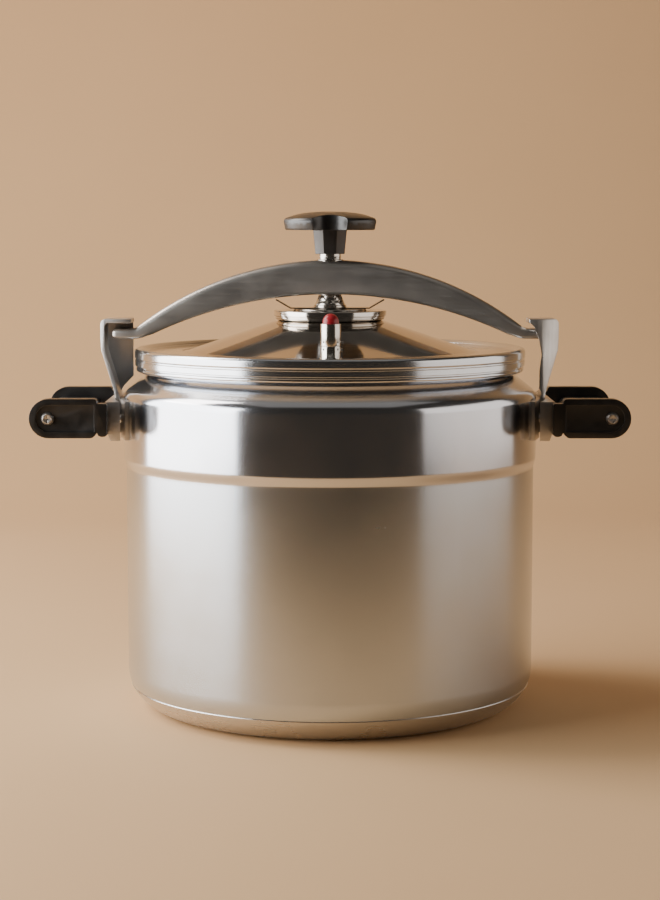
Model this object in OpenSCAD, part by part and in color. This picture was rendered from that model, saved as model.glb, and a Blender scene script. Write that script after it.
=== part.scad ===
// Large stove-top pressure canner with an arched clamp bar.
// Millimetres. +Z up, origin on the floor at the centre of the base, arch and handles along X.

/* [Pot] */
// Outer radius of the lower wall
body_r = 150; // [140:1:160]
// Height of the shoulder above the floor
shoulder_z = 235; // [215:1:260]
// How far the upper belt stands out from the lower wall
belt_step = 1.7; // [1:0.1:3]
// Thickness of the drawn steel wall
wall = 1.6; // [1.2:0.1:2.5]
// Radius of the rounded bottom corner
corner_r = 30; // [24:1:34]

/* [Lid] */
// Outer radius of the lid rim
lid_r = 143.5; // [142:0.5:144.5]
// Radius where the cone of the lid starts
cone_foot_r = 104; // [100:1:113]
// Height of the cone
cone_h = 23.2; // [16:1:28]
// Radius of the centre disc
disc_r = 41.4; // [34:1:44]

/* [Clamp] */
// Depth of the arch bar at the centre
arch_depth = 25; // [18:1:26]
// Width of the arch bar, front to back
arch_w = 23; // [16:1:24]
// Radius of the screw spindle
screw_r = 8; // [6:0.5:8]
// Radius of the knob across its lobes
knob_r = 36; // [32:1:40]
// How far the flange of each hook reaches inward, left and right
hook_reach = [22, 15]; // [12:0.5:22]

/* [Handles] */
// Half the distance across the outer ends of the handles
handle_x = 214.2; // [205:0.1:240]
// Half the distance between the outer faces of the handle arms
handle_y = 62.5; // [58:0.5:75]
// Thickness of each handle arm
arm_t = 10; // [8:0.5:14]
// Height of each handle arm
arm_h = 28; // [22:1:32]

/* [Hidden] */

$fn = 96;
steel = "#c9c5bf";
dark_steel = "#8d8983";
black = "#1b1a19";
belt_r = body_r + belt_step;
gap = 0.3;

// Heights of the pot
seam_z = 18;
cap_t = 1.2;
floor_z = 6;
belt_foot_z = shoulder_z - 49;
neck_r = body_r - 16.5;
neck_z = shoulder_z + 12;
rim_bead = 2.5;
rim_z = neck_z + 7.5;

// Heights of the lid
skirt_z = shoulder_z + 13;
lid_z = skirt_z + 14;
lid_top_z = skirt_z + 17;
skirt_in_r = lid_r - 4.1;
lid_t = 2;
cone_top_z = lid_z + cone_h;
cone_top_r = disc_r - 1.5;
disc_z = cone_top_z + 0.1;
disc_t = 6.9;
boss_r = 26.5;
boss_t = 1.1;
boss_top_z = disc_z + disc_t + boss_t;
hub_r = 11;
hub_drop = 13;

// Screw stack above the disc
journal_r = screw_r - 2;
spring_t = 0.6;
spring_z = boss_top_z + 0.1;
washer_z = spring_z + spring_t + 0.1;
washer_t = 2;
screw_z = washer_z + washer_t + 0.1;
arch_z = screw_z + 7.8;
arch_top_z = arch_z + arch_depth;
knob_z = arch_top_z + 4.4;
knob_stem_h = 17.4;
knob_head_h = 13.5;

// The arch bar, as two arcs and a flat tab at each end
arch_top_r = 229;
arch_under_r = 305;
tab_in = 143.5;
tab_out = 160;
tab_z = arch_z - 32.4;
tab_t = 7.1;
tab_w = 21;

// Hook posts and brackets
post_t = 3;
post_w = 26;
flange_t = 2.2;
slot_r = belt_r + 2.7;
block_r = slot_r + post_t + 0.9;
block_x = belt_r + 9.6;
bracket_z = 200.3;
bracket_h = 28;
saddle_y = 46;
block_y = 49;
lip_z = tab_z + tab_t + 4.4;
lip_in = 145.5;
post_x = 168;
rivet_r = 3;
rivet_y = 24;
rivet_z = bracket_z + 14;

// Handles
arm_z = bracket_z + 3.2;
arm_in = block_x + 7.5;
arm_end = block_x - 2.6;
foot_t = 4;
foot_y = 34;
grip_in = handle_x - 40;
grip_out = handle_x - 4;
grip_t = 17;
bolt_x = handle_x - 13.3;
bolt_z = arm_z + arm_h / 2;
bolt_r = 2.5;
foot_screw_y = 43;
panel_deep = 1.2;

// Valves on the lid
valve_at = [0.5, -120.5, lid_z];
relief_at = [-4, 119.5, lid_z];
valve_r = 6.9;
button_r = 5.5;
stem_r = 2.2;

// Points on an arc about [cx, cy], from angle a0 to a1
function arc(cx, cy, r, a0, a1, n = 8) =
    [for (i = [0:n]) let (a = a0 + (a1 - a0) * i / n) [cx + r * cos(a), cy + r * sin(a)]];

// Drop of a circle of radius r at the distance x from its top
function sag(r, x) = r - sqrt(r * r - x * x);

// A smooth step that runs from 0 to 1
function ease(t) = t * t * (3 - 2 * t);

// ---------- pot ----------

// Outside of the pot wall, from the seam up to the rolled rim; grow moves it outward
function wall_line(grow, z_low) = concat(
    [for (p = arc(body_r - corner_r, corner_r, corner_r + grow,
        asin((z_low - corner_r) / (corner_r + grow)), 0)) p],
    [for (i = [0:6]) [body_r + grow + belt_step * ease(i / 6), belt_foot_z - 7.6 + 7.6 * i / 6]],
    arc(belt_r - 5, shoulder_z, 5 + grow, 0, 65.5, 6),
    [[neck_r + 1.5 + grow * 0.7, neck_z - 1.2 + grow * 0.7]],
    [[neck_r + grow, neck_z + 0.8 + grow * 0.3]]
);

module pot_shell() {
    in_corner = corner_r - wall;
    under_r = corner_r - cap_t;
    color(steel) difference() {
        rotate_extrude($fn = 128) polygon(concat(
            [[0, floor_z]],
            arc(body_r - corner_r, corner_r, under_r,
                asin((floor_z - corner_r) / under_r), asin((seam_z - corner_r) / under_r), 5),
            wall_line(0, seam_z),
            arc(neck_r + 2, rim_z - rim_bead, rim_bead, -60, 180, 12),
            [for (i = [len(wall_line(-wall, seam_z)) - 1:-1:0]) wall_line(-wall, seam_z)[i]],
            arc(body_r - corner_r, corner_r, in_corner,
                asin((seam_z - corner_r) / in_corner) - 1, asin((floor_z + wall - corner_r) / in_corner), 5),
            [[0, floor_z + wall]]
        ));
        bracket_holes();
    }
}

// The bonded sandwich base, a shallow cap round the bottom corner
module base_plate() {
    under_r = corner_r - cap_t + 0.05;
    color(dark_steel) rotate_extrude($fn = 128) polygon(concat(
        [[0, 0]],
        arc(body_r - corner_r, corner_r, corner_r + 0.25,
            asin(-corner_r / (corner_r + 0.25)), asin((seam_z - 0.2 - corner_r) / (corner_r + 0.25)), 10),
        arc(body_r - corner_r, corner_r, under_r,
            asin((seam_z - 0.2 - corner_r) / under_r), asin((floor_z - 0.05 - corner_r) / under_r), 5),
        [[0, floor_z - 0.05]]
    ));
}

// ---------- lid ----------

module lid_shell() {
    color(steel) difference() {
        rotate_extrude($fn = 128) polygon(concat(
            [[0, cone_top_z]],
            [[cone_top_r - 3, cone_top_z], [cone_top_r, cone_top_z - 0.8]],
            [[cone_foot_r - 4, lid_z + 1.4], [cone_foot_r + 2, lid_z + 0.1]],
            [[lid_r - 9, lid_z], [lid_r - 6, lid_z + 1]],
            arc(lid_r - 2.6, lid_top_z - 2.6, 2.6, 110, 0, 8),
            [[lid_r, lid_z - 3.8], [lid_r - 0.9, lid_z - 4.4], [lid_r - 0.9, lid_z - 5.2]],
            [[lid_r - 0.2, lid_z - 5.8], [lid_r - 0.2, lid_z - 9.4], [lid_r - 1.8, lid_z - 10.2]],
            arc(lid_r - 3.3, skirt_z + 1.4, 1.4, 20, -90, 5),
            [[skirt_in_r, skirt_z]],
            [[skirt_in_r, lid_z - lid_t], [cone_foot_r, lid_z - lid_t]],
            [[cone_top_r - 1.5, cone_top_z - lid_t - 0.6], [cone_top_r - 4, cone_top_z - lid_t]],
            [[0, cone_top_z - lid_t]]
        ));
        translate([0, 0, cone_top_z - 10]) cylinder(r = hub_r + gap, h = 20);
        translate([valve_at[0], valve_at[1], lid_z - 10]) cylinder(r = 5 + 0.1, h = 30);
        translate([relief_at[0], relief_at[1], lid_z - 10]) cylinder(r = 4 + 0.1, h = 30);
    }
}

// Silicone ring with a lip at its inner edge, under the lid and on the pot's rim
module lid_gasket() {
    top = lid_z - lid_t - 0.05;
    color("#d8d4cc") rotate_extrude($fn = 128) polygon(concat(
        [[neck_r - 3.5, rim_z + 0.1], [skirt_in_r - 0.3, rim_z + 0.1], [skirt_in_r - 0.3, top]],
        [[neck_r - 1, top], [neck_r - 1, top - 1.6], [neck_r - 3.5, rim_z + 1.4]]
    ));
}

// Stepped disc on top of the cone, with a threaded hub down through the lid
module centre_disc() {
    z = disc_z;
    color(steel) rotate_extrude($fn = 96) polygon(concat(
        [[journal_r + gap, z - hub_drop], [hub_r, z - hub_drop], [hub_r, z]],
        arc(disc_r - 3.4, z + 2.5, 2.5, -90, 0, 6),
        [[disc_r - 1.4, z + 2.8], [disc_r, z + 3.1]],
        arc(disc_r - 0.8, z + disc_t - 0.8, 0.8, 0, 90, 4),
        [[boss_r, z + disc_t], [boss_r, boss_top_z - 0.5], [boss_r - 0.5, boss_top_z]],
        [[journal_r + gap, boss_top_z]]
    ));
}

// Sealing washer between the cone and the nut of the disc
module disc_washer() {
    color("#4a4743") translate([0, 0, cone_top_z - lid_t - 1.6]) ring(17, hub_r + gap, 1.5);
}

module disc_nut() {
    color(dark_steel) translate([0, 0, cone_top_z - lid_t - 8.6]) difference() {
        cylinder(r = 18, h = 6.9, $fn = 6);
        translate([0, 0, -1]) cylinder(r = hub_r + 0.1, h = 10);
    }
}

module ring(r_out, r_in, h) {
    difference() {
        cylinder(r = r_out, h = h);
        translate([0, 0, -1]) cylinder(r = r_in, h = h + 2);
    }
}

// ---------- arch and screw ----------

module thrust_washer() {
    color(steel) translate([0, 0, washer_z]) ring(12, journal_r + gap, washer_t);
}

// Thin strip with upturned ends that keeps the arch bar up and in line
module arch_spring() {
    flat = 29;
    tip_x = 40;
    tip_z = arch_z - sag(arch_under_r, tip_x) - spring_t - 1.1;
    color(dark_steel) difference() {
        union() {
            translate([0, 6, 0]) rotate([90, 0, 0]) linear_extrude(12) polygon([
                [-tip_x, tip_z], [-flat, spring_z], [flat, spring_z], [tip_x, tip_z],
                [tip_x - 0.5, tip_z + spring_t], [flat - 0.3, spring_z + spring_t],
                [-flat + 0.3, spring_z + spring_t], [-tip_x + 0.5, tip_z + spring_t]]);
            translate([0, 0, spring_z]) cylinder(r = 10.5, h = spring_t);
        }
        translate([0, 0, spring_z - 5]) cylinder(r = journal_r + gap, h = 10);
    }
}

// One side of the top and the underside of the arch bar
function arch_top() = concat(
    [for (i = [0:14]) let (x = 138 * i / 14) [x, arch_top_z - sag(arch_top_r, x)]],
    [[141, tab_z + tab_t + 1.7], [tab_in, tab_z + tab_t + 0.2], [tab_in + 3, tab_z + tab_t]]
);
function arch_under() = concat(
    [[142, tab_z], [136, tab_z + 1.2]],
    [for (i = [12:-1:0]) let (x = 130 * i / 12) [x, arch_z - sag(arch_under_r, x)]]
);
function arch_half() = concat(
    arch_top(),
    arc(tab_out - 2.5, tab_z + tab_t - 2.5, 2.5, 90, 0, 4),
    arc(tab_out - 3.5, tab_z + 3.5, 3.5, 0, -90, 4),
    arch_under()
);
function mirrored(points) = [for (i = [len(points) - 1:-1:0]) [-points[i][0], points[i][1]]];

module arch_bar() {
    color(dark_steel) difference() {
        translate([0, arch_w / 2, 0]) rotate([90, 0, 0]) linear_extrude(arch_w)
            polygon(concat(arch_half(), mirrored(arch_half())));
        translate([0, 0, arch_z - 10]) cylinder(r = screw_r + 2.1, h = arch_depth + 30);
        for (s = [-1, 1], t = [-1, 1]) translate([s * 152, t * (tab_w / 2 + 5), tab_z - 5])
            translate([-20, -5, 0]) cube([40, 10, 30]);
    }
}

// Threaded bush pressed into the arch bar
module arch_bush() {
    color(steel) translate([0, 0, arch_z + 0.3]) ring(10, screw_r + gap, arch_depth - 0.5);
}

// Clamp screw with a flared foot and a thin journal that hangs in the disc
module screw_spindle() {
    foot_z = disc_z - hub_drop - 6;
    flare_h = 7.3;
    color(steel) {
        translate([0, 0, screw_z]) cylinder(r = screw_r, h = knob_z + 14 - screw_z);
        difference() {
            translate([0, 0, screw_z]) cylinder(r1 = 11.2, r2 = screw_r + 0.2, h = flare_h);
            foot_pockets(screw_z + 1, 9, 0);
            foot_pockets(screw_z + 4.2, 7.6, 22.5);
        }
        difference() {
            translate([0, 0, foot_z]) cylinder(r = journal_r, h = screw_z - foot_z);
            translate([0, 0, disc_z - hub_drop - 2.6]) ring(journal_r + 2, journal_r - 1.2, 1.8);
        }
    }
}

// One ring of eight square pockets round the flared foot of the screw
module foot_pockets(z, depth_r, turn) {
    for (i = [0:7]) rotate(45 * i + turn) translate([depth_r, -1.3, z]) cube([6, 2.6, 2.5]);
}

// Spring clip in the groove at the foot of the spindle
module spindle_clip() {
    clip_z = disc_z - hub_drop - 2.4;
    color(dark_steel) translate([0, 0, clip_z]) difference() {
        ring(journal_r + 4, journal_r - 1.1, 1.4);
        translate([0, -2, -1]) cube([20, 4, 4]);
    }
}

// Moulded hand knob with four lobes on an eight-sided stem
module knob() {
    head_z = knob_z + knob_stem_h;
    color(black) difference() {
        union() {
            translate([0, 0, knob_z]) rotate(22.5) cylinder(r1 = 11.6, r2 = 13.5, h = knob_stem_h + 1, $fn = 8);
            difference() {
                translate([0, 0, head_z]) knob_disc();
                for (i = [0:3]) rotate(90 * i)
                    translate([knob_r + 5, 0, head_z - 1]) cylinder(r = 14.5, h = 30);
            }
        }
        translate([0, 0, knob_z - 1]) cylinder(r = screw_r + 0.05, h = 15.2);
    }
}

module knob_disc() {
    rotate_extrude() polygon(concat(
        [[0, 0]],
        arc(knob_r - 2.4, 1.4, 1.4, -90, -5, 4),
        arc(knob_r - 3, knob_head_h - 7.4, 3, 0, 68, 5),
        [[knob_r - 9, knob_head_h - 2.7], [knob_r - 16, knob_head_h - 1.2]],
        [[knob_r - 25, knob_head_h - 0.25], [0, knob_head_h]]
    ));
}

// ---------- working valve ----------

module valve_body() {
    color(steel) translate(valve_at) difference() {
        union() {
            translate([0, 0, -8]) cylinder(r = 5, h = 9);
            translate([0, 0, 0.1]) cylinder(r = 7.7, h = 2.6, $fn = 6);
            translate([0, 0, 2.6]) cylinder(r = valve_r, h = 7.6);
        }
        translate([0, 0, -9]) cylinder(r = stem_r + 0.6, h = 20);
        translate([0, 0, 4]) cylinder(r = valve_r - 1.4, h = 10);
        steam_holes(8.4);
    }
    color(steel) translate(valve_at) translate([valve_r - 0.5, 0, 8]) rotate([0, 90, 0]) cylinder(r = 1.1, h = 1.8);
}

// Screwed cap with a floor that guides the stem and a well for the button
module valve_cap() {
    color(steel) translate(valve_at) difference() {
        translate([0, 0, 10.5]) cylinder(r = valve_r, h = 15.1);
        translate([0, 0, 9]) cylinder(r = valve_r - 1.4, h = 8.3);
        translate([0, 0, 10]) cylinder(r = stem_r + 0.4, h = 12);
        translate([0, 0, 19.2]) cylinder(r = valve_r - 1, h = 10);
        steam_holes(13.4);
    }
    color(steel) translate(valve_at) translate([valve_r - 0.5, 0, 13]) rotate([0, 90, 0]) cylinder(r = 0.8, h = 2.4);
}

module steam_holes(z) {
    for (i = [0:3]) rotate(90 * i + 45) translate([0, 0, z]) rotate([0, 90, 0])
        cylinder(r = 0.75, h = 12, $fn = 16);
}

module valve_button() {
    color("#b3202c") translate(valve_at) translate([0, 0, 22.2]) rotate_extrude() polygon(concat(
        [[0, 0], [button_r - 0.4, 0], [button_r, 0.4]],
        arc(0, 4.9, button_r, 0, 90, 10)
    ));
}

// Stem with the conical plug that closes the steam way and carries the spring
module valve_stem() {
    color(dark_steel) translate(valve_at) {
        translate([0, 0, -4]) cylinder(r = stem_r, h = 26.1);
        translate([0, 0, 4.2]) cylinder(r1 = 3.4, r2 = 4.4, h = 2.4);
    }
}

module valve_spring() {
    color(dark_steel) translate(valve_at) coil(3.5, 0.45, 7.2, 9.4, 5);
}

// A coil spring, swept as a tube of eight sides
module coil(r, wire, z0, h, turns) {
    steps = turns * 14;
    function centre(i) = [r * cos(360 * turns * i / steps), r * sin(360 * turns * i / steps), z0 + h * i / steps];
    function ring_point(i, k) = let (a = 360 * turns * i / steps, b = 60 * k)
        centre(i) + wire * [cos(b) * cos(a), cos(b) * sin(a), sin(b)];
    polyhedron(
        points = [for (i = [0:steps], k = [0:5]) ring_point(i, k)],
        faces = concat(
            [[for (k = [0:5]) k]],
            [for (i = [0:steps - 1], k = [0:5])
                [i * 6 + k, i * 6 + 6 + k, i * 6 + 6 + (k + 1) % 6, i * 6 + (k + 1) % 6]],
            [[for (k = [5:-1:0]) steps * 6 + k]]
        )
    );
}

module valve_seal() {
    color("#3a3836") translate(valve_at) translate([0, 0, -lid_t - 1.6]) ring(7.2, 5.1, 1.5);
}

module valve_nut() {
    color(dark_steel) translate(valve_at) translate([0, 0, -lid_t - 5.7]) hex_nut(8, 5.1, 4);
}

module hex_nut(r, bore, h) {
    difference() {
        cylinder(r = r, h = h, $fn = 6);
        translate([0, 0, -1]) cylinder(r = bore, h = h + 2);
    }
}

// ---------- relief valve ----------

module relief_body() {
    color(steel) translate(relief_at) difference() {
        union() {
            translate([0, 0, -7]) cylinder(r = 4, h = 8);
            translate([0, 0, 0.1]) cylinder(r = 7.5, h = 3.4, $fn = 6);
            translate([0, 0, 3.5]) cylinder(r = 5.6, h = 9);
        }
        translate([0, 0, -8]) cylinder(r = 1.9, h = 30);
        translate([0, 0, 4.2]) cylinder(r = 4.2, h = 7.2);
    }
}

module relief_pin() {
    color(dark_steel) translate(relief_at) {
        translate([0, 0, -3]) cylinder(r = 1.6, h = 19);
        translate([0, 0, 4.4]) cylinder(r = 3.4, h = 1.4);
        translate([0, 0, 16]) sphere(r = 2.6);
    }
}

module relief_spring() {
    color(dark_steel) translate(relief_at) coil(2.7, 0.35, 6.3, 4.6, 4);
}

module relief_seal() {
    color("#3a3836") translate(relief_at) translate([0, 0, -lid_t - 1.6]) ring(6.3, 4.1, 1.5);
}

module relief_nut() {
    color(dark_steel) translate(relief_at) translate([0, 0, -lid_t - 5.2]) hex_nut(7, 4.1, 3.5);
}

// ---------- brackets, hooks and handles ----------

// side is -1 for left and 1 for right; the left set is the right set turned half round
module on_side(side) {
    rotate(side > 0 ? 0 : 180) children();
}

module rivet_line(x0, x1, r) {
    for (y = [-rivet_y, 0, rivet_y]) translate([x0, y, rivet_z]) rotate([0, 90, 0]) cylinder(r = r, h = x1 - x0);
}

module bracket_holes() {
    for (side = [-1, 1]) on_side(side) rivet_line(130, 180, rivet_r + 0.1);
}

// Curved strap against the belt of the pot
module saddle(side) {
    color(steel) on_side(side) difference() {
        intersection() {
            translate([0, 0, bracket_z]) ring(slot_r - 0.1, belt_r + 0.1, bracket_h);
            translate([100, -saddle_y, bracket_z - 1]) cube([80, 2 * saddle_y, bracket_h + 2]);
        }
        bracket_holes();
    }
}

// Side view of the hook post, out is the distance from its inner face
function post_line(out) = [
    [slot_r + out, bracket_z + 2],
    [slot_r + out, bracket_z + 28.5],
    [156.2 + out, bracket_z + 36],
    [159 + out, bracket_z + 45],
    [162.4 + out, bracket_z + 56],
    [post_x - post_t - 0.4 + out, bracket_z + 63],
    [post_x - post_t + out, bracket_z + 72],
    [post_x - post_t + out, lip_z - 2]
];

// Free edge of the side flange, from the lip down to the foot; the left one reaches further in
function flange_edge(side) = side > 0
    ? [[lip_in + 4, lip_z - 3], [lip_in + 7.6, bracket_z + 70], [post_x - hook_reach[1] + 2, bracket_z + 60],
        [post_x - hook_reach[1] + 0.5, bracket_z + 48], [153.4, bracket_z + 35], [156.2, bracket_z + 29.5]]
    : [[post_x - hook_reach[0], lip_z - 6], [post_x - hook_reach[0], bracket_z + 43],
        [post_x - hook_reach[0] + 7.5, bracket_z + 35], [156.2, bracket_z + 29.5]];

module hook(side) {
    corner_out = arc(post_x - 4, lip_z + post_t - 4, 4, 0, 90, 4);
    corner_mid = arc(post_x - 4.5, lip_z + post_t - 4.5, 4, 0, 90, 4);
    inner = post_line(0);
    middle = post_line(post_t - 0.5);
    color(steel) on_side(side) difference() {
        union() {
            translate([0, post_w / 2, 0]) rotate([90, 0, 0]) linear_extrude(post_w) polygon(concat(
                post_line(post_t), corner_out, [[lip_in, lip_z + post_t], [lip_in, lip_z]],
                [[post_x - post_t - 1.6, lip_z]], [for (i = [len(inner) - 1:-1:0]) inner[i]]));
            translate([0, -post_w / 2 + 1.8, 0]) rotate([90, 0, 0]) linear_extrude(flange_t) polygon(concat(
                [for (i = [2:len(middle) - 1]) middle[i]], corner_mid,
                [[lip_in + 0.5, lip_z + post_t - 0.5], [lip_in + 0.5, lip_z + 0.5]], flange_edge(side)));
        }
        bracket_holes();
    }
}

// Outer block that the handle arms are screwed to, curved to the pot on its inner face
module clamp_block(side) {
    color(steel) on_side(side) difference() {
        intersection() {
            translate([0, 0, bracket_z]) difference() {
                translate([100, -block_y, 0]) cube([block_x - 100, 2 * block_y, bracket_h]);
                translate([0, 0, -1]) cylinder(r = block_r, h = bracket_h + 2, $fn = 128);
            }
            translate([0, block_y + 1, 0]) rotate([90, 0, 0]) linear_extrude(2 * block_y + 2) polygon([
                [100, bracket_z], [block_x - 3.5, bracket_z], [block_x - 0.8, bracket_z + 8],
                [block_x, bracket_z + 9], [block_x, bracket_z + bracket_h], [100, bracket_z + bracket_h]]);
        }
        bracket_holes();
        for (y = [-foot_screw_y, foot_screw_y]) translate([block_x - 9, y, rivet_z])
            rotate([0, 90, 0]) cylinder(r = 2.1, h = 20);
    }
}

// Headed at both ends, and the inner heads stand just clear of the round wall
module bracket_rivets(side) {
    head = 5.2;
    color(dark_steel) on_side(side) for (y = [-rivet_y, 0, rivet_y]) {
        wall_x = sqrt(pow(belt_r - wall, 2) - pow(abs(y) + head, 2)) - 0.1;
        translate([wall_x - 1.5, y, rivet_z]) rotate([0, 90, 0]) cylinder(r = rivet_r, h = block_x + 1 - wall_x + 1.5);
        translate([wall_x - 2, y, rivet_z]) rotate([0, 90, 0]) cylinder(r1 = 3.4, r2 = head, h = 2);
        translate([block_x + 0.1, y, rivet_z]) rotate([0, 90, 0]) cylinder(r1 = head, r2 = 3.2, h = 2);
    }
}

// Side outline of a handle arm: round outer end, notch below the root
function arm_outline() = concat(
    arc(handle_x - arm_h / 2, arm_z + arm_h / 2, arm_h / 2, -90, 90, 16),
    arc(arm_in - 0.6, arm_z + arm_h - 2.2, 2.2, 90, 180, 4),
    [[arm_in - 3.2, arm_z + arm_h - 3.4], [arm_end + 0.9, arm_z + arm_h - 3.4]],
    [[arm_end, arm_z + arm_h - 4.3], [arm_end, arm_z + 2.4], [arm_end + 1.2, arm_z + 1.3]],
    [[arm_end + 3, arm_z + 1], [arm_end + 4.6, arm_z + 1.1], [arm_in - 3.9, arm_z + 1.8]],
    [[arm_in - 3.5, arm_z + 3.9], [arm_in - 2.6, arm_z + 3.7], [arm_in - 1.6, arm_z + 2]],
    [[arm_in + 0.2, arm_z + 0.4], [arm_in + 2, arm_z]]
);

// end is -1 for the front arm and 1 for the rear one
module arm(side, end) {
    y_face = end > 0 ? handle_y : -handle_y + arm_t;
    color(black) rotate_copy(side) difference() {
        union() {
            translate([0, y_face, 0]) rotate([90, 0, 0]) linear_extrude(arm_t) polygon(arm_outline());
            translate([block_x + 0.4, end > 0 ? foot_y : -handle_y + 1, arm_z + 2.6])
                cube([foot_t, handle_y - foot_y - 1, arm_h - 9]);
        }
        translate([bolt_x, 0, bolt_z]) rotate([90, 0, 0]) cylinder(r = bolt_r + 0.1, h = 200, center = true);
        translate([0, end > 0 ? handle_y + 1 : -handle_y + panel_deep, 0]) rotate([90, 0, 0])
            linear_extrude(panel_deep + 1) polygon(concat(
                arc(handle_x - arm_h / 2, bolt_z, arm_h / 2 - 4.6, -90, 90, 14),
                [[arm_in - 1, bolt_z + arm_h / 2 - 4.6], [arm_in - 1, bolt_z - arm_h / 2 + 4.6]]));
        translate([block_x - 1, end * foot_screw_y, rivet_z]) rotate([0, 90, 0]) cylinder(r = 2.1, h = 20);
    }
}

// The left handle is the mirror image of the right one
module rotate_copy(side) {
    mirror([side > 0 ? 0 : 1, 0, 0]) children();
}

module foot_screws(side) {
    color(dark_steel) rotate_copy(side) for (y = [-foot_screw_y, foot_screw_y]) {
        translate([block_x - 8, y, rivet_z]) rotate([0, 90, 0]) cylinder(r = 2, h = foot_t + 8.5);
        translate([block_x + 0.5 + foot_t, y, rivet_z]) rotate([0, 90, 0]) cylinder(r1 = 4, r2 = 3, h = 2);
    }
}

module grip(side) {
    half = handle_y - arm_t - 0.1;
    r = 6;
    z0 = bolt_z - 10.5;
    color(black) rotate_copy(side) difference() {
        translate([0, half, 0]) rotate([90, 0, 0]) linear_extrude(2 * half) polygon(concat(
            arc(grip_out - r, z0 + r, r, -90, 0, 5), arc(grip_out - r, z0 + grip_t - r, r, 0, 90, 5),
            arc(grip_in + r, z0 + grip_t - r, r, 90, 180, 5), arc(grip_in + r, z0 + r, r, 180, 270, 5)));
        for (e = [-1, 1]) translate([bolt_x, e * (half - 8), bolt_z]) rotate([90, 0, 0])
            cylinder(r = bolt_r + 0.1, h = 18, center = true);
    }
}

module grip_screws(side) {
    color(dark_steel) rotate_copy(side) for (e = [-1, 1]) translate([bolt_x, e * (handle_y - panel_deep), bolt_z])
        rotate([e * -90, 0, 0]) {
            translate([0, 0, -24]) cylinder(r = bolt_r, h = 24.2);
            difference() {
                translate([0, 0, 0.1]) cylinder(r1 = 4.7, r2 = 3.4, h = 2.8);
                for (a = [0, 90]) rotate(a) translate([-2.6, -0.45, 1.8]) cube([5.2, 0.9, 3]);
            }
        }
}

pot_shell();
base_plate();
lid_shell();
lid_gasket();
centre_disc();
disc_washer();
disc_nut();
thrust_washer();
arch_spring();
arch_bar();
arch_bush();
screw_spindle();
spindle_clip();
knob();
valve_body();
valve_cap();
valve_button();
valve_stem();
valve_spring();
valve_seal();
valve_nut();
relief_body();
relief_pin();
relief_spring();
relief_seal();
relief_nut();
saddle(-1);  // saddle_left
saddle(1);  // saddle_right
hook(-1);  // hook_left
hook(1);  // hook_right
clamp_block(-1);  // clamp_block_left
clamp_block(1);  // clamp_block_right
bracket_rivets(-1);  // bracket_rivets_left
bracket_rivets(1);  // bracket_rivets_right
arm(-1, -1);  // arm_left_front
arm(-1, 1);  // arm_left_rear
arm(1, -1);  // arm_right_front
arm(1, 1);  // arm_right_rear
foot_screws(-1);  // foot_screws_left
foot_screws(1);  // foot_screws_right
grip(-1);  // grip_left
grip(1);  // grip_right
grip_screws(-1);  // grip_screws_left
grip_screws(1);  // grip_screws_right
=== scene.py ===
"""Stove-top pressure canner: steel pot, mirror lid, clamp arch with hand knob, bakelite handles."""
import math

import bmesh
import bpy
from mathutils import Matrix, Vector


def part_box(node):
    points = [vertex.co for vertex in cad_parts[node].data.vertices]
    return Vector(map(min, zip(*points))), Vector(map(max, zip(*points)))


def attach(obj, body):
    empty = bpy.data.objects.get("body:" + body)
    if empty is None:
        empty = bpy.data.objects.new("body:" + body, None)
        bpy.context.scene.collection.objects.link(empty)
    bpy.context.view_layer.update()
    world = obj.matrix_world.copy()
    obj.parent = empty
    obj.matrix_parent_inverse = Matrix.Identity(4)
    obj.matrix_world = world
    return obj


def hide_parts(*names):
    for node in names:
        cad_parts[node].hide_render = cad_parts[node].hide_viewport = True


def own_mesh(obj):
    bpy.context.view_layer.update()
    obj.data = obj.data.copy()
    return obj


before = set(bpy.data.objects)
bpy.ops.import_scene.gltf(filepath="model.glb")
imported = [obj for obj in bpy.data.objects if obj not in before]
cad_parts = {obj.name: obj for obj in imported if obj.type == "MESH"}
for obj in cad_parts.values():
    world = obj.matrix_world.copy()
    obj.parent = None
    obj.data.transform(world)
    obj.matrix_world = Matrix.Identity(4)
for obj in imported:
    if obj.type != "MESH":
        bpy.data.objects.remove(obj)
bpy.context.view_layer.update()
MM = 0.001

# ---------------------------------------------------------------- sandwich base
# The base is a disc of aluminium pressed between the pot and a shallow steel cap.
# The cap is drawn from sheet and ground on the lathe, so it keeps fine rings round its axis.

belt_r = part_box("pot_shell")[1].x / MM
belt_step = 1.7
body_r = belt_r - belt_step
corner_r = 30
corner_in = body_r - corner_r
base_seam_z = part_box("base_plate")[1].z / MM


def srgb(code):
    """Linear colour of an sRGB hex value."""
    parts = [int(code[i:i + 2], 16) / 255 for i in (0, 2, 4)]
    return [p / 12.92 if p <= 0.04045 else ((p + 0.055) / 1.055) ** 2.4 for p in parts] + [1.0]


def add(tree, kind, sockets=None, **settings):
    """A shader node with its settings, and each socket linked to an output or set to a value."""
    made = tree.nodes.new("ShaderNode" + kind)
    for key, value in settings.items():
        setattr(made, key, value)
    for name, value in (sockets or {}).items():
        if isinstance(value, bpy.types.NodeSocket):
            tree.links.new(value, made.inputs[name])
        else:
            made.inputs[name].default_value = value
    return made


def start_material(name, shader_values):
    """An empty material with its shader, and the object coordinates that its patterns read."""
    made = bpy.data.materials.new(name)
    made.use_nodes = True
    tree = made.node_tree
    tree.nodes.clear()
    shader = add(tree, "BsdfPrincipled", shader_values)
    add(tree, "OutputMaterial", {"Surface": shader.outputs["BSDF"]})
    return made, tree, shader, add(tree, "TexCoord").outputs["Object"]


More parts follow.
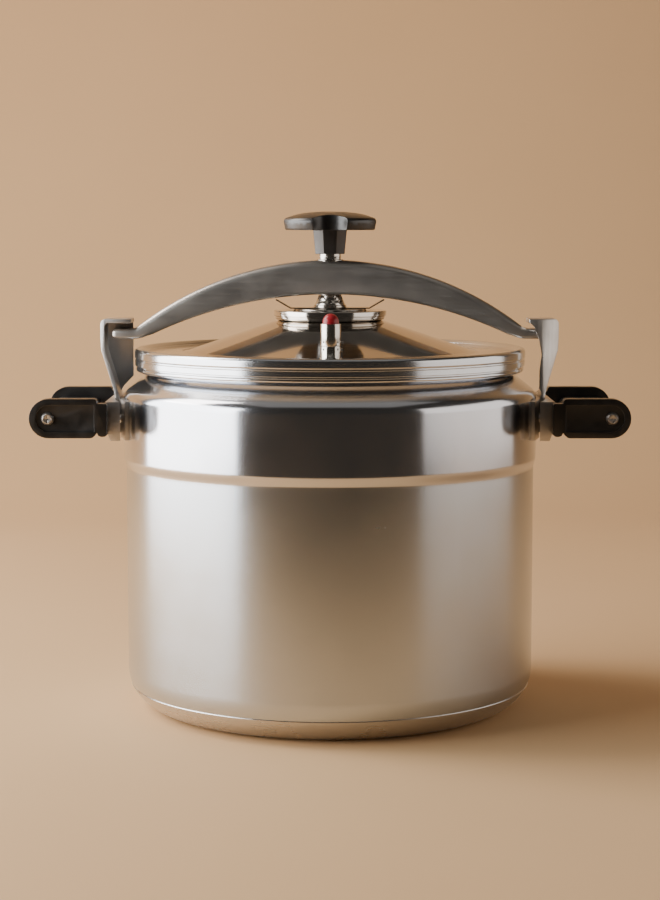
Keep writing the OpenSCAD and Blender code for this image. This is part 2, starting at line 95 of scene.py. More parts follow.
def blotches(tree, place, size_mm, low, high):
    """Soft uneven patches of a real size, as a value from low to high."""
    noise = add(tree, "TexNoise", {"Vector": place, "Scale": 1 / (size_mm * MM), "Detail": 3.0})
    return add(tree, "MapRange", {"Value": noise.outputs["Fac"], "From Min": 0.3, "From Max": 0.7,
                                  "To Min": low, "To Max": high}).outputs["Result"]


def turned_lines(tree, place, line_mm, run_mm):
    """Fine rings that a lathe or a polishing mop leaves: short across, long round the axis."""
    flat = add(tree, "VectorMath", {0: place, 1: (1, 1, 0)}, operation="MULTIPLY")
    radius = add(tree, "VectorMath", {0: flat.outputs["Vector"]}, operation="LENGTH").outputs["Value"]
    split = add(tree, "SeparateXYZ", {"Vector": place})
    across = add(tree, "Math", {0: radius, 1: split.outputs["Z"]}, operation="ADD").outputs["Value"]
    stretch = add(tree, "Math", {0: across, 1: run_mm / line_mm}, operation="MULTIPLY").outputs["Value"]
    ring = add(tree, "CombineXYZ", {"X": split.outputs["X"], "Y": split.outputs["Y"], "Z": stretch})
    return add(tree, "TexNoise", {"Vector": ring.outputs["Vector"], "Scale": 1 / (run_mm * MM),
                                  "Detail": 1.5, "Roughness": 0.5}).outputs["Fac"]


def turned_steel(name, tint, roughness, uneven, line_mm, depth_mm, stretch):
    """Stainless steel polished on a lathe. Rings of grain round the axis draw each highlight out
    across them, and the mop leaves cloudy patches that are a little duller."""
    made, tree, shader, place = start_material(name, {
        "Base Color": srgb(tint), "Metallic": 1.0,
        "Anisotropic": stretch, "Anisotropic Rotation": 0.25})
    lines = turned_lines(tree, place, line_mm, run_mm=150)
    cloud = blotches(tree, place, 45, roughness - uneven, roughness + uneven)
    fine = add(tree, "MapRange", {"Value": lines, "From Min": 0.2, "From Max": 0.8,
                                  "To Min": -uneven / 3, "To Max": uneven / 3}).outputs["Result"]
    rough = add(tree, "Math", {0: cloud, 1: fine}, operation="ADD", use_clamp=True).outputs["Value"]
    tree.links.new(rough, shader.inputs["Roughness"])
    bump = add(tree, "Bump", {"Height": lines, "Distance": depth_mm * MM, "Strength": 0.2})
    tree.links.new(bump.outputs["Normal"], shader.inputs["Normal"])
    tangent = add(tree, "Tangent", direction_type="RADIAL", axis="Z")
    tree.links.new(tangent.outputs["Tangent"], shader.inputs["Tangent"])
    return made


def arc(centre, radius, start, end, steps):
    """Points round a centre in the plane of radius and height, in mm and degrees."""
    turn = [math.radians(start + (end - start) * i / steps) for i in range(steps + 1)]
    return [(centre[0] + radius * math.cos(a), centre[1] + radius * math.sin(a)) for a in turn]


def braced(outline, near_mm):
    """The outline with points close to both ends of each long stretch, so that smooth shading
    bends only at the corners."""
    made = []
    for here, after in zip(outline, outline[1:] + outline[:1]):
        made.append(here)
        length = math.dist(here, after)
        if length > 4 * near_mm and min(here[0], after[0]) > 0:
            made += [tuple(a + (b - a) * t for a, b in zip(here, after))
                     for t in (near_mm / length, 1 - near_mm / length)]
    return made


def turned(outline, steps=192):
    """A bmesh turned about the upright axis from a closed outline of (radius, height) in mm."""
    shape = bmesh.new()
    ring = [shape.verts.new((r * MM, 0, z * MM)) for r, z in braced(outline, near_mm=0.5)]
    edges = [shape.edges.new(pair) for pair in zip(ring, ring[1:] + ring[:1])]
    bmesh.ops.spin(shape, geom=ring + edges, cent=(0, 0, 0), axis=(0, 0, 1), dvec=(0, 0, 0),
                   angle=math.tau, steps=steps, use_merge=True)
    bmesh.ops.remove_doubles(shape, verts=shape.verts, dist=0.00001)
    bmesh.ops.dissolve_degenerate(shape, edges=shape.edges, dist=0.000001)
    bmesh.ops.recalc_face_normals(shape, faces=shape.faces)
    return shape


def place_piece(shape, name, look, body, nodes, sharp=32):
    """Turns a finished bmesh into a piece at the origin that stands for its CAD nodes."""
    mesh = bpy.data.meshes.new(name)
    shape.to_mesh(mesh)
    shape.free()
    mesh.shade_smooth()
    mesh.set_sharp_from_angle(angle=math.radians(sharp))
    mesh.materials.append(look)
    piece = bpy.data.objects.new(name, mesh)
    bpy.context.scene.collection.objects.link(piece)
    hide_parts(*nodes)
    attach(piece, body)
    return piece


base_steel = turned_steel("ground_steel_base", "cfccc8", 0.28, 0.03, 0.9, 0.006, 0.6)
corner_foot = (corner_in, corner_r)
cap_r = corner_r + 0.25
cap_top_z = 6
seam_turn = math.degrees(math.asin((base_seam_z - corner_r) / cap_r))
seam_round = 0.5
seam_r = corner_in + (cap_r - seam_round) * math.cos(math.radians(seam_turn))
hollow_r = 24
hollow_z = 0.9
base_cap = turned(
    [(0, hollow_z), (hollow_r, hollow_z), (hollow_r + 1.5, 0), (corner_in - 6, 0)]
    + arc(corner_foot, cap_r, -89, seam_turn - 1.2, 14)
    + arc((seam_r, base_seam_z - seam_round), seam_round, 0, 90, 3)
    + [(corner_in + 20, base_seam_z), (corner_in + 12, cap_top_z), (0, cap_top_z)])
place_piece(base_cap, "base_cap", base_steel, "pot", ["base_plate"])

# ---------------------------------------------------------------- pot
# One deep-drawn shell of stainless steel, 1.6 mm thick. Its lower wall is satin, brushed round
# the pot, and the wider belt above the bead is mopped brighter. The mouth is rolled over.

pot_high = Vector(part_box("pot_shell")[1]) / MM
wall = 1.6
floor_z = 6.02
floor_top_z = 7.6
shoulder_z = pot_high.z - 19.5
shoulder_r = 10
belt_foot_z = shoulder_z - 49
bead_h = 7.6
neck_r = body_r - 16.5
neck_z = shoulder_z + 12
roll_r = 2.5


def wall_line(grow):
    """The wall from the seam up to the neck. grow moves it outwards along its normal."""
    foot = math.degrees(math.asin((base_seam_z - corner_r) / (corner_r + grow)))
    rise = [i / 12 for i in range(13)]
    bead = [(body_r + grow + belt_step * t * t * (3 - 2 * t), belt_foot_z - bead_h + bead_h * t)
            for t in rise]
    return (arc(corner_foot, corner_r + grow, foot, 0, 12)
            + [(body_r + grow, z) for z in (60, 100, 140, belt_foot_z - bead_h - 2)]
            + bead + [(belt_r + grow, belt_foot_z + 20)]
            + arc((belt_r - shoulder_r, shoulder_z - 7), shoulder_r + grow, 0, 53, 10)
            + [(neck_r + 1.5 + grow * 0.7, neck_z - 1.2 + grow * 0.7), (neck_r + grow, neck_z + 0.8)])


satin_steel = turned_steel("satin_brushed_steel", "c9d0d7", 0.25, 0.02, 2.4, 0.003, 0.6)
belt_steel = turned_steel("mopped_belt_steel", "d7dae0", 0.17, 0.02, 1.3, 0.003, 0.6)
under_cap_r = corner_r - 1.2
under_cap_turn = math.degrees(math.asin((base_seam_z - corner_r) / under_cap_r))
pot = turned(
    [(0, floor_z), (corner_in, floor_z)]
    + arc(corner_foot, under_cap_r, -53, under_cap_turn, 6)
    + wall_line(0) + arc((neck_r + 2, pot_high.z - roll_r), roll_r, -60, 180, 14)
    + wall_line(-wall)[::-1] + arc(corner_foot, corner_r - wall, -30, -53, 4)
    + [(corner_in, floor_top_z), (0, floor_top_z)])
pot_piece = place_piece(pot, "pot", satin_steel, "pot", ["pot_shell"])
pot_piece.data.materials.append(belt_steel)
for face in pot_piece.data.polygons:
    if face.center.z > (belt_foot_z - bead_h - 0.1) * MM and face.center.xy.length > neck_r * MM:
        face.material_index = 1

# ---------------------------------------------------------------- brackets
# Each bracket is a curved strap against the belt, a hook post of bent sheet and a milled block,
# all held by three rivets. The sheet is mopped after bending, so its edges are a little rounded.


def machined(node, edge_mm, segments=3):
    """A copy of a CAD node's mesh, merged, with flat stretches joined and edges broken."""
    shape = bmesh.new()
    shape.from_mesh(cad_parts[node].data)
    bmesh.ops.remove_doubles(shape, verts=shape.verts, dist=0.01 * MM)
    bmesh.ops.dissolve_limit(shape, angle_limit=math.radians(0.6), verts=shape.verts, edges=shape.edges)
    crisp = [e for e in shape.edges if len(e.link_faces) == 2 and e.calc_face_angle(0) > math.radians(28)]
    bmesh.ops.bevel(shape, geom=crisp, offset=edge_mm * MM, segments=segments, profile=0.5,
                    affect="EDGES", material=-1, clamp_overlap=True)
    return shape


def brushed_metal(name, tint, patch, roughness, uneven, along, line_mm, depth_mm, stretch):
    """Metal rubbed with a belt or mop in one direction: long fine lines along it, with duller,
    slightly darker patches where it was handled."""
    made, tree, shader, place = start_material(name, {"Metallic": 1.0, "Anisotropic": stretch})
    squeeze = [1 / line_mm] * 3
    squeeze[along] = 1 / (line_mm * 30)
    shrink = add(tree, "Mapping", {"Vector": place, "Scale": [s / MM for s in squeeze]})
    lines = add(tree, "TexNoise", {"Vector": shrink.outputs["Vector"], "Scale": 1.0,
                                   "Detail": 4.0}).outputs["Fac"]
    cloud = blotches(tree, place, 18, roughness - uneven, roughness + uneven)
    fine = add(tree, "MapRange", {"Value": lines, "From Min": 0.3, "From Max": 0.7,
                                  "To Min": -uneven, "To Max": uneven}).outputs["Result"]
    rough = add(tree, "Math", {0: cloud, 1: fine}, operation="ADD", use_clamp=True).outputs["Value"]
    tree.links.new(rough, shader.inputs["Roughness"])
    tone = blotches(tree, place, 25, 0.0, 1.0)
    colour = add(tree, "Mix", {0: tone, 6: srgb(tint), 7: srgb(patch)}, data_type="RGBA")
    tree.links.new(colour.outputs[2], shader.inputs["Base Color"])
    bump = add(tree, "Bump", {"Height": lines, "Distance": depth_mm * MM, "Strength": 0.5})
    tree.links.new(bump.outputs["Normal"], shader.inputs["Normal"])
    return made


bracket_steel = brushed_metal("mopped_bracket_steel", "d2cfcb", "bebab5", 0.36, 0.05, 2, 0.8, 0.02, 0.4)
block_top_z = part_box("clamp_block_left")[1].z
bend_from_x = 149
bend_to_x = 168
front_y = -10 * MM


def rolled_back(shape, side, bend_per_m):
    """A hook cut into strips, its front drawn back towards the outer edge: the flange of the right
    hook, and the front edge of the left post."""
    for cut in range(bend_from_x + 2, bend_to_x, 2):
        bmesh.ops.bisect_plane(shape, geom=shape.verts[:] + shape.edges[:] + shape.faces[:],
                               dist=0.000001, plane_co=(side * cut * MM, 0, 0), plane_no=(1, 0, 0))
    for vert in shape.verts:
        past = abs(vert.co.x) - bend_from_x * MM
        if vert.co.y < front_y and vert.co.z > block_top_z and past > 0:
            vert.co.y += bend_per_m * past * past
    return shape


for side, name, bend in ((-1, "left", 6), (1, "right", 22)):
    for node, edge in ((f"saddle_{name}", 0.5), (f"clamp_block_{name}", 0.9)):
        place_piece(machined(node, edge), f"{node}_mopped", bracket_steel, "pot", [node])
    node = f"hook_{name}"
    hook = rolled_back(machined(node, 0.7), side, bend)
    place_piece(hook, f"{node}_mopped", bracket_steel, "pot", [node], sharp=40)

# ---------------------------------------------------------------- rivets and screws of the brackets
# Mild steel rivets, headed cold on both sides, and cone-headed screws through the handle feet.
# They are tumbled bright, so they are smooth with a few dull spots.


def bright_hardware(name, tint, roughness):
    """Tumbled and plated small steel parts: smooth, with tiny pits and dull spots."""
    made, tree, shader, place = start_material(name, {"Base Color": srgb(tint), "Metallic": 1.0})
    spots = blotches(tree, place, 2.2, roughness - 0.06, roughness + 0.08)
    tree.links.new(spots, shader.inputs["Roughness"])
    pits = add(tree, "TexNoise", {"Vector": place, "Scale": 1 / (0.9 * MM), "Detail": 3.0}).outputs["Fac"]
    bump = add(tree, "Bump", {"Height": pits, "Distance": 0.006 * MM, "Strength": 0.4})
    tree.links.new(bump.outputs["Normal"], shader.inputs["Normal"])
    return made


rivet_steel = bright_hardware("tumbled_rivet_steel", "cac6c1", 0.36)
for side in ("left", "right"):
    for name in ("bracket_rivets", "foot_screws"):
        node = f"{name}_{side}"
        place_piece(machined(node, 0.5), f"{node}_bright", rivet_steel, "pot", [node])

# ---------------------------------------------------------------- handles
# Two arms and a cross grip on each side, pressed from black phenolic resin. The mould leaves a
# glossy skin with a faint ripple, and hands leave duller patches on it.


def pressed_resin(name, tint, worn, roughness):
    """Bakelite: glossy black, with flow ripples, dust-fine pits and handled dull patches."""
    made, tree, shader, place = start_material(name, {
        "IOR": 1.6, "Specular IOR Level": 0.55, "Coat Weight": 0.12, "Coat Roughness": 0.15})
    patch = blotches(tree, place, 12, 0.0, 1.0)
    colour = add(tree, "Mix", {0: patch, 6: srgb(tint), 7: srgb(worn)}, data_type="RGBA")
    tree.links.new(colour.outputs[2], shader.inputs["Base Color"])
    dull = blotches(tree, place, 9, roughness - 0.07, roughness + 0.09)
    tree.links.new(dull, shader.inputs["Roughness"])
    ripple = add(tree, "TexNoise", {"Vector": place, "Scale": 1 / (6 * MM), "Detail": 2.0}).outputs["Fac"]
    grit = add(tree, "TexNoise", {"Vector": place, "Scale": 1 / (0.7 * MM), "Detail": 2.0}).outputs["Fac"]
    wave = add(tree, "Bump", {"Height": ripple, "Distance": 0.12 * MM, "Strength": 0.35})
    skin = add(tree, "Bump", {"Height": grit, "Distance": 0.015 * MM, "Strength": 0.35,
                              "Normal": wave.outputs["Normal"]})
    tree.links.new(skin.outputs["Normal"], shader.inputs["Normal"])
    return made


bakelite = pressed_resin("pressed_bakelite", "121110", "1d1b19", 0.35)
for side in ("left", "right"):
    for end in ("front", "rear"):
        node = f"arm_{side}_{end}"
        place_piece(machined(node, 1.3, 4), f"{node}_moulding", bakelite, "pot", [node])
    node = f"grip_{side}"
    place_piece(machined(node, 1.6, 4), f"{node}_moulding", bakelite, "pot", [node])
    node = f"grip_screws_{side}"
    place_piece(machined(node, 0.35, 2), f"{node}_bright", rivet_steel, "pot", [node])

# ---------------------------------------------------------------- lid
# Spun from one sheet of steel: a flat ring, a shallow cone and a rolled rim with two beads. The
# cone is mirror polished, and the rim keeps faint lines from the mop.

lid_low, lid_high = (Vector(corner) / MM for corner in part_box("lid_shell"))
disc_low, disc_high = (Vector(corner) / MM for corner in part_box("centre_disc"))
lid_r = lid_high.x
skirt_z = lid_low.z
lid_z = skirt_z + 14
lid_top_z = lid_z + 3
cone_foot_r = lid_r - 37
cone_top_r = disc_high.x - 1.5
cone_top_z = lid_high.z
skirt_in_r = lid_r - 4.1
hub_r = 11.3


def polished_sheet(name, tint, roughness, uneven):
    """Mirror-polished steel sheet: clear reflections, bent a little by the hand-held mop, with
    faint swirls and wiped patches that blur them."""
    made, tree, shader, place = start_material(name, {"Base Color": srgb(tint), "Metallic": 1.0})
    lines = turned_lines(tree, place, line_mm=0.9, run_mm=60)
    wiped = blotches(tree, place, 35, roughness - uneven, roughness + uneven)
    fine = add(tree, "MapRange", {"Value": lines, "From Min": 0.3, "From Max": 0.7,
                                  "To Min": 0.0, "To Max": uneven}).outputs["Result"]
    rough = add(tree, "Math", {0: wiped, 1: fine}, operation="ADD", use_clamp=True).outputs["Value"]
    tree.links.new(rough, shader.inputs["Roughness"])
    wave = add(tree, "TexNoise", {"Vector": place, "Scale": 1 / (55 * MM), "Detail": 1.0}).outputs["Fac"]
    bend = add(tree, "Bump", {"Height": wave, "Distance": 0.12 * MM, "Strength": 0.5})
    swirl = add(tree, "Bump", {"Height": lines, "Distance": 0.004 * MM, "Strength": 0.5,
                               "Normal": bend.outputs["Normal"]})
    tree.links.new(swirl.outputs["Normal"], shader.inputs["Normal"])
    return made


mirror_steel = polished_sheet("mirror_polished_steel", "d6d0c8", 0.075, 0.03)
rim_steel = turned_steel("mopped_rim_steel", "d4d7da", 0.2, 0.025, 1.2, 0.002, 0.5)
lid = turned(
    [(hub_r, cone_top_z), (cone_top_r - 3, cone_top_z)]
    + arc((cone_top_r - 3, cone_top_z - 3), 3, 75, 70.5, 2)
    + [(cone_foot_r - 2, lid_z + 0.9)]
    + arc((cone_foot_r + 4, lid_z + 12.1), 12, 250, 270, 5)
    + [(lid_r - 11, lid_z + 0.1)]
    + arc((lid_r - 8.5, lid_z + 2.1), 2, 270, 330, 4)
    + arc((lid_r - 3, lid_top_z - 3), 3, 130, 0, 12)
    + [(lid_r, lid_z - 3.4), (lid_r - 0.2, lid_z - 3.8536)]
    + [(lid_r - 0.9, lid_z - 4.3), (lid_r - 0.9, lid_z - 5.1), (lid_r - 0.3, lid_z - 5.6),
       (lid_r - 0.3, lid_z - 9.2), (lid_r - 1.7, lid_z - 9.7), (lid_r - 1.7, lid_z - 10.3)]
    + arc((lid_r - 3.1, skirt_z + 1.9), 1.9, 55, -90, 10)
    + [(skirt_in_r, skirt_z + 0.2), (skirt_in_r, lid_z - 3), (skirt_in_r - 1, lid_z - 2),
       (cone_foot_r, lid_z - 2), (cone_top_r - 1.5, cone_top_z - 2.6), (cone_top_r - 4, cone_top_z - 2),
       (hub_r, cone_top_z - 2)], steps=256)
lid_piece = place_piece(lid, "lid", mirror_steel, "lid", ["lid_shell"], sharp=24)
lid_piece.data.materials.append(rim_steel)
for face in lid_piece.data.polygons:
    if face.center.xy.length > (lid_r - 9) * MM:
        face.material_index = 1

# ---------------------------------------------------------------- gasket
# A moulded silicone ring that lies on the mouth of the pot. It is milky and a little dusty.


def moulded_rubber(name, tint, shade, roughness):
    """Soft moulded rubber or silicone: matt, with cloudy colour and a fine moulded skin."""
    made, tree, shader, place = start_material(name, {"IOR": 1.42, "Specular IOR Level": 0.4})
    cloud = blotches(tree, place, 8, 0.0, 1.0)
    colour = add(tree, "Mix", {0: cloud, 6: srgb(tint), 7: srgb(shade)}, data_type="RGBA")
    tree.links.new(colour.outputs[2], shader.inputs["Base Color"])
    dull = blotches(tree, place, 4, roughness - 0.08, roughness + 0.08)
    tree.links.new(dull, shader.inputs["Roughness"])
    skin = add(tree, "TexNoise", {"Vector": place, "Scale": 1 / (0.8 * MM), "Detail": 3.0}).outputs["Fac"]
    bump = add(tree, "Bump", {"Height": skin, "Distance": 0.04 * MM, "Strength": 0.4})
    tree.links.new(bump.outputs["Normal"], shader.inputs["Normal"])
    return made


silicone = moulded_rubber("milky_silicone", "d9d5cc", "c3beb2", 0.5)
black_rubber = moulded_rubber("black_seal_rubber", "141312", "23211f", 0.62)
place_piece(machined("lid_gasket", 0.5), "gasket", silicone, "lid", ["lid_gasket"])
for node in ("disc_washer", "valve_seal", "relief_seal"):
    place_piece(machined(node, 0.3), f"{node}_rubber", black_rubber, "lid", [node])

# ---------------------------------------------------------------- centre disc
# A turned steel disc sits on top of the cone: a rounded lower bead, a groove, a flat rim and a
# raised boss. Its hub goes down through the lid, where a nut clamps it. It is polished in the
# lathe, so its edges mirror and its top has fine rings.

disc_r = disc_high.x
disc_z = cone_top_z + 0.1
disc_top_z = disc_z + 6.9
boss_r = 26.5
bore_r = 6.3
disc_steel = polished_sheet("turned_disc_steel", "d8d2ca", 0.10, 0.03)
disc = turned(
    [(bore_r, disc_low.z), (11, disc_low.z), (11, disc_z)]
    + arc((disc_r - 3.1, disc_z + 2.2), 2.2, -88, 0, 10) + [(disc_r - 0.9, disc_z + 2.5)]
    + arc((disc_r - 1.5, disc_z + 2.8), 0.3, -60, 60, 3)
    + arc((disc_r - 0.5, disc_z + 3.5), 0.5, -80, 0, 4)
    + arc((disc_r - 0.8, disc_top_z - 0.8), 0.8, 0, 88, 5) + [(boss_r + 0.6, disc_top_z)]
    + arc((boss_r - 0.5, disc_high.z - 0.5), 0.5, 0, 90, 4)
    + [(bore_r + 0.4, disc_high.z), (bore_r, disc_high.z - 0.4)], steps=256)
place_piece(disc, "centre_disc_turned", disc_steel, "lid", ["centre_disc"])
nut_steel = bright_hardware("plated_nut_steel", "a9a39b", 0.32)
for node in ("disc_nut", "valve_nut", "relief_nut"):
    place_piece(machined(node, 0.5, 2), f"{node}_plated", nut_steel, "lid", [node])

# ---------------------------------------------------------------- working valve and relief valve
# Turned from steel bar in two halves with a row of steam holes in each. A red silicone button on
# the stem stands out of the cap. The spring round the stem is wound from 0.9 mm wire. The relief
# valve at the back of the lid is a smaller turned body with its own stem and spring.

valve_steel = polished_sheet("turned_valve_steel", "d8d1c8", 0.14, 0.04)
for node in ("valve_body", "valve_cap", "relief_body"):
    place_piece(machined(node, 0.35, 2), f"{node}_turned", valve_steel, "lid", [node])


def dyed_silicone(name, tint, shade, roughness):
    """Dyed silicone: slightly glossy and slightly see-through, with cloudy dye."""
    made, tree, shader, place = start_material(name, {
        "IOR": 1.43, "Subsurface Weight": 0.15, "Subsurface Radius": (0.6 * MM, 0.2 * MM, 0.15 * MM),
        "Coat Weight": 0.2, "Coat Roughness": 0.2})
    cloud = blotches(tree, place, 3, 0.0, 1.0)
    colour = add(tree, "Mix", {0: cloud, 6: srgb(tint), 7: srgb(shade)}, data_type="RGBA")
    tree.links.new(colour.outputs[2], shader.inputs["Base Color"])
    dull = blotches(tree, place, 3, roughness - 0.06, roughness + 0.06)
    tree.links.new(dull, shader.inputs["Roughness"])
    return made


red_silicone = dyed_silicone("red_silicone", "b32a34", "8f1d28", 0.33)
place_piece(machined("valve_button", 0.2, 2), "button", red_silicone, "valve_stem",
            ["valve_button"])
stem_steel = bright_hardware("turned_stem_steel", "a8a29b", 0.3)
for node, name in (("valve_stem", "stem"), ("relief_pin", "relief_stem")):
    place_piece(machined(node, 0.2, 2), name, stem_steel, node, [node])
spring_steel = brushed_metal("drawn_spring_wire", "8e8880", "6f6962", 0.34, 0.05, 0, 0.6, 0.01, 0.0)


def wound_spring(node, wire_mm, turns):
    """A coil wound from round wire on the axis of its CAD node."""
    low, high = (Vector(corner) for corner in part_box(node))
    centre = (low + high) / 2
    wire_r = wire_mm / 2 * MM
    radius = (high.x - low.x) / 2 - wire_r
    coil = bmesh.new()
    bmesh.ops.create_circle(coil, cap_ends=False, radius=wire_r, segments=8)
    bmesh.ops.rotate(coil, verts=coil.verts, cent=(0, 0, 0), matrix=Matrix.Rotation(math.pi / 2, 3, "X"))
    start = Vector((centre.x + radius, centre.y, low.z + wire_r))
    bmesh.ops.translate(coil, verts=coil.verts, vec=start)
    steps = turns * 24
    rise = (high.z - low.z - 2 * wire_r) / steps
    bmesh.ops.spin(coil, geom=coil.verts[:] + coil.edges[:], cent=(centre.x, centre.y, 0),
                   axis=(0, 0, 1), dvec=(0, 0, rise), angle=math.tau * turns, steps=steps)
    bmesh.ops.remove_doubles(coil, verts=coil.verts, dist=0.000001)
    bmesh.ops.holes_fill(coil, edges=[e for e in coil.edges if e.is_boundary])
    bmesh.ops.recalc_face_normals(coil, faces=coil.faces)
    piece = place_piece(coil, f"{node}_wound", spring_steel, "lid", [node])
    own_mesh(piece)


wound_spring("valve_spring", 0.9, 5)
wound_spring("relief_spring", 0.7, 4)

# ---------------------------------------------------------------- thrust washer and leaf spring
# A hardened washer carries the shoulder of the screw. Under it a thin strip of spring steel is bent
# up at both ends to hold the arch level.

washer_steel = bright_hardware("hardened_washer_steel", "cfc8bf", 0.2)
place_piece(machined("thrust_washer", 0.4), "washer", washer_steel, "swing_collar",
            ["thrust_washer"])
place_piece(machined("arch_spring", 0.15, 2), "leaf_spring", spring_steel, "swing_collar",
            ["arch_spring"])

# ---------------------------------------------------------------- arch
# The clamp bar is cast in aluminium alloy, its faces linished along the bar and its edges rounded.
# The threaded bush is a turned ring, pressed into the middle of the bar.

arch_alloy = brushed_metal("linished_cast_alloy", "c9c4bd", "bab6b1", 0.38, 0.03, 0, 1.2, 0.008, 0.3)
arch_low, arch_high = (Vector(corner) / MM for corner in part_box("arch_bar"))
arch_under_z = arch_high.z - 25
tab_z = arch_low.z
tab_top_z = tab_z + 7.1
tab_half = 10.5
crown_r = 229
belly_r = 305


def sagged(top_z, radius, x):
    """Height at x of an arc with its crown at top_z."""
    return top_z - radius + math.sqrt(radius * radius - x * x)


def section_ring(shape, x, top_z, under_z, half, round_top, round_under):
    """One closed cross-section of the bar, with its top and bottom corners rounded."""
    top, under = (top_z - round_top, round_top), (under_z + round_under, round_under)
    points = []
    for start, side, (corner_z, radius) in ((0, 1, top), (90, -1, top), (180, -1, under), (270, 1, under)):
        points += arc((side * (half - radius), corner_z), radius, start, start + 90, 6)
    ring = [shape.verts.new((x * MM, y * MM, z * MM)) for y, z in points]
    return [shape.edges.new(pair) for pair in zip(ring, ring[1:] + ring[:1])]


# A station is x, the heights of top and underside, half the width, and the top and bottom roundings.
stations = [(x, sagged(arch_high.z, crown_r, x), sagged(arch_under_z, belly_r, x), arch_high.y, 5.2, 2.6)
            for x in (6.5 * i for i in range(21))]
stations += [(134, sagged(arch_high.z, crown_r, 134), tab_z + 2.1, 11.3, 4.4, 2.4),
             (137.5, sagged(arch_high.z, crown_r, 137.5), tab_z + 0.8, 11.0, 3.8, 2.2),
             (141, tab_top_z + 1.6, tab_z + 0.1, 10.7, 3.2, 2.0),
             (143.5, tab_top_z + 0.4, tab_z, tab_half, 2.8, 1.9),
             (146.5, tab_top_z, tab_z, tab_half, 2.4, 1.8), (156.6, tab_top_z, tab_z, tab_half, 2.2, 1.8),
             (158.8, tab_top_z - 0.6, tab_z + 0.6, tab_half - 0.6, 2.0, 1.8),
             (159.7, tab_top_z - 1.4, tab_z + 1.4, tab_half - 1.4, 1.6, 1.6),
             (160, tab_top_z - 2.3, tab_z + 2.3, tab_half - 2.3, 1.2, 1.2)]
arch_shape = bmesh.new()
rings = [section_ring(arch_shape, side * x, *rest)
         for side, row in ((-1, stations[:0:-1]), (1, stations)) for x, *rest in row]
for here, after in zip(rings, rings[1:]):
    bmesh.ops.bridge_loops(arch_shape, edges=here + after)
bmesh.ops.holes_fill(arch_shape, edges=rings[0] + rings[-1])
bmesh.ops.recalc_face_normals(arch_shape, faces=arch_shape.faces)
place_piece(arch_shape, "arch", arch_alloy, "arch", ["arch_bar"], sharp=50)
bush_low, bush_high = (Vector(corner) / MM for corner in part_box("arch_bush"))
bush_in_r, bush_r, bush_edge, bush_stand = 8.3, 10, 0.4, 0.6
bush_foot_z, bush_top_z = bush_low.z - bush_stand, bush_high.z + bush_stand
bush = turned([(bush_in_r, bush_foot_z), (bush_r - bush_edge, bush_foot_z), (bush_r, bush_foot_z + bush_edge),
               (bush_r, bush_top_z - bush_edge), (bush_r - bush_edge, bush_top_z), (bush_in_r, bush_top_z)],
              steps=96)
place_piece(bush, "bush", washer_steel, "arch", ["arch_bush"])

# ---------------------------------------------------------------- clamp screw
# Turned steel spindle with a rolled thread between the knob and its shoulder, held in the disc by a
# spring clip. It is greased and bright.


def threaded_steel(name, tint, roughness, pitch_mm, depth_mm):
    """Rolled thread: a saw-tooth that climbs one pitch in each turn, on bright steel."""
    made, tree, shader, place = start_material(name, {"Base Color": srgb(tint), "Metallic": 1.0})
    split = add(tree, "SeparateXYZ", {"Vector": place})
    angle = add(tree, "Math", {0: split.outputs["Y"], 1: split.outputs["X"]},
                operation="ARCTAN2").outputs["Value"]
    climb = add(tree, "Math", {0: angle, 1: math.tau}, operation="DIVIDE").outputs["Value"]
    height = add(tree, "Math", {0: split.outputs["Z"], 1: pitch_mm * MM},
                 operation="DIVIDE").outputs["Value"]
    phase = add(tree, "Math", {0: height, 1: climb}, operation="SUBTRACT").outputs["Value"]
    tooth = add(tree, "Math", {0: phase, 1: 1.0}, operation="PINGPONG").outputs["Value"]
    bump = add(tree, "Bump", {"Height": tooth, "Distance": depth_mm * MM, "Strength": 1.0})
    tree.links.new(bump.outputs["Normal"], shader.inputs["Normal"])
    dull = blotches(tree, place, 3, roughness - 0.05, roughness + 0.08)
    tree.links.new(dull, shader.inputs["Roughness"])
    return made


screw_steel = threaded_steel("rolled_thread_steel", "d4cdc4", 0.2, 2, 0.35)
place_piece(machined("screw_spindle", 0.4), "clamp_screw", screw_steel, "knob",
            ["screw_spindle"])
place_piece(machined("spindle_clip", 0.2, 2), "screw_clip", spring_steel, "knob",
            ["spindle_clip"])

# ---------------------------------------------------------------- hand knob
# Pressed from the same black phenolic resin as the handles, with four lobes, a crowned top and an
# eight-sided stem that is moulded round the top of the screw.

place_piece(machined("knob", 1.8, 5), "hand_knob", bakelite, "knob", ["knob"], sharp=40)

# ---------------------------------------------------------------- floor and backdrop
# One sheet of warm beige paper runs along the floor and curves up behind. Its back is clear, so
# that the object can be seen from every side.

sweep = bmesh.new()
paper_z, paper_top_z = -0.0002, 4.0
paper_front_y, paper_half = -0.7, 2.5
bend_y, bend_r = 1.0, 0.8
path = [(paper_front_y, paper_z), (bend_y, paper_z)]
path += [(bend_y + bend_r * math.sin(a), paper_z + bend_r * (1 - math.cos(a)))
         for a in (math.radians(5 * i) for i in range(1, 19))]
path += [(bend_y + bend_r, paper_top_z)]
line = [sweep.verts.new((-paper_half, y, z)) for y, z in path]
strip = [sweep.edges.new(pair) for pair in zip(line, line[1:])]
grown = bmesh.ops.extrude_edge_only(sweep, edges=strip)["geom"]
far_side = [v for v in grown if isinstance(v, bmesh.types.BMVert)]
bmesh.ops.translate(sweep, verts=far_side, vec=(2 * paper_half, 0, 0))
bmesh.ops.recalc_face_normals(sweep, faces=sweep.faces)
sweep.faces.ensure_lookup_table()
if min(sweep.faces, key=lambda face: face.calc_center_median().z).normal.z < 0:
    bmesh.ops.reverse_faces(sweep, faces=sweep.faces)
paper_mesh = bpy.data.meshes.new("backdrop")
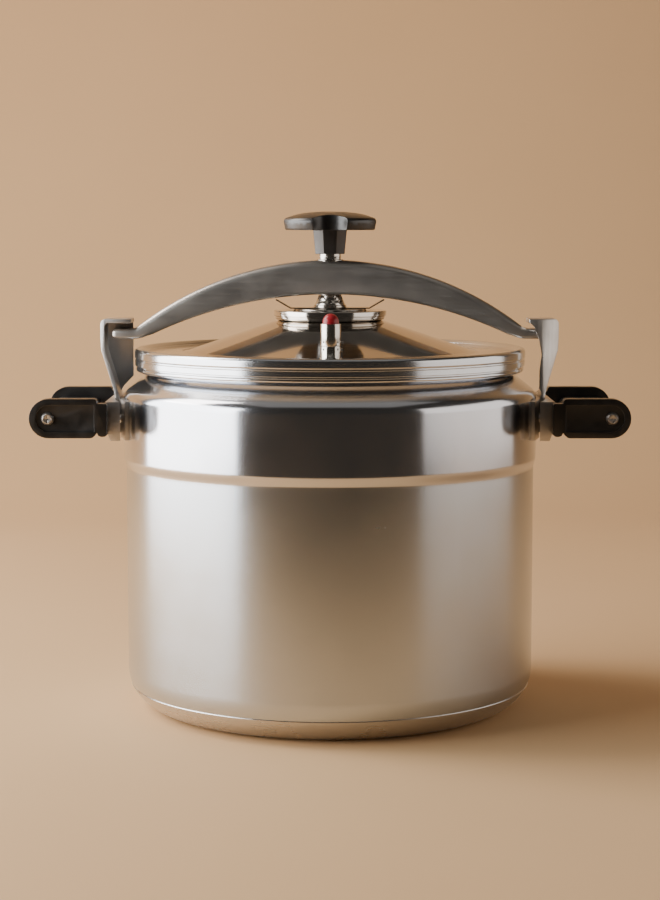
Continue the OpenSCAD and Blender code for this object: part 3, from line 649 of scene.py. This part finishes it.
sweep.to_mesh(paper_mesh)
sweep.free()
paper_mesh.shade_smooth()
paper = bpy.data.objects.new("backdrop", paper_mesh)
bpy.context.scene.collection.objects.link(paper)
paper_look, paper_tree, paper_shader, paper_place = start_material("beige_paper", {"Roughness": 0.85})
paper_tone = add(paper_tree, "Mix", {0: blotches(paper_tree, paper_place, 500, 0.0, 1.0),
                                     6: srgb("d3ad7f"), 7: srgb("cfa97b")}, data_type="RGBA")
paper_tree.links.new(paper_tone.outputs[2], paper_shader.inputs["Base Color"])
paper_back = add(paper_tree, "NewGeometry").outputs["Backfacing"]
paper_seen = add(paper_tree, "Math", {0: 1.0, 1: paper_back}, operation="SUBTRACT")
paper_tree.links.new(paper_seen.outputs["Value"], paper_shader.inputs["Alpha"])
paper_mesh.materials.append(paper_look)

# ---------------------------------------------------------------- light
# A large soft box close on the left, a weaker one on the right, one high up that lights the paper
# behind, and a dim bounce from the ceiling.


def soft_box(name, place, aim, width, height, watts, tint):
    """A flat rectangular light at a place in metres, turned towards its aim."""
    lamp = bpy.data.lights.new(name, "AREA")
    lamp.shape = "RECTANGLE"
    lamp.size, lamp.size_y, lamp.energy = width, height, watts
    lamp.color = srgb(tint)[:3]
    made = bpy.data.objects.new(name, lamp)
    made.location = place
    made.rotation_euler = (Vector(aim) - Vector(place)).to_track_quat("-Z", "Y").to_euler()
    bpy.context.scene.collection.objects.link(made)


soft_box("key_box", (-1.25, -0.245, 0.53), (0, -0.245, 0.53), 1.65, 1.02, 47, "fbfbfb")
soft_box("fill_box", (1.25, -0.245, 0.5), (0, -0.245, 0.5), 1.65, 0.86, 6.5, "fff4ea")
soft_box("top_box", (-1.9, 0.6, 2.1), (-0.3, 1.1, 0.2), 1.4, 1.4, 70, "fff6ee")
soft_box("ceiling_bounce", (0, -0.6, 2.6), (0, -0.6, 0), 3.0, 2.2, 4.5, "fff8f0")
room = bpy.data.worlds.new("room")
bpy.context.scene.world = room
room.use_nodes = True
room.node_tree.nodes["Background"].inputs["Color"].default_value = srgb("7d766e")
room.node_tree.nodes["Background"].inputs["Strength"].default_value = 0.16

# ---------------------------------------------------------------- camera
# It stands 1.57 m in front, a little above the knob's stem, and looks slightly down.

lens = bpy.data.cameras.new("camera")
lens.lens, lens.sensor_width = 85.38, 36
look_down = 6.029
camera = bpy.data.objects.new("camera", lens)
camera.location = (0, -1.5733, 0.3548)
camera.rotation_euler = (math.radians(90 - look_down), 0, 0)
bpy.context.scene.collection.objects.link(camera)
bpy.context.scene.camera = camera
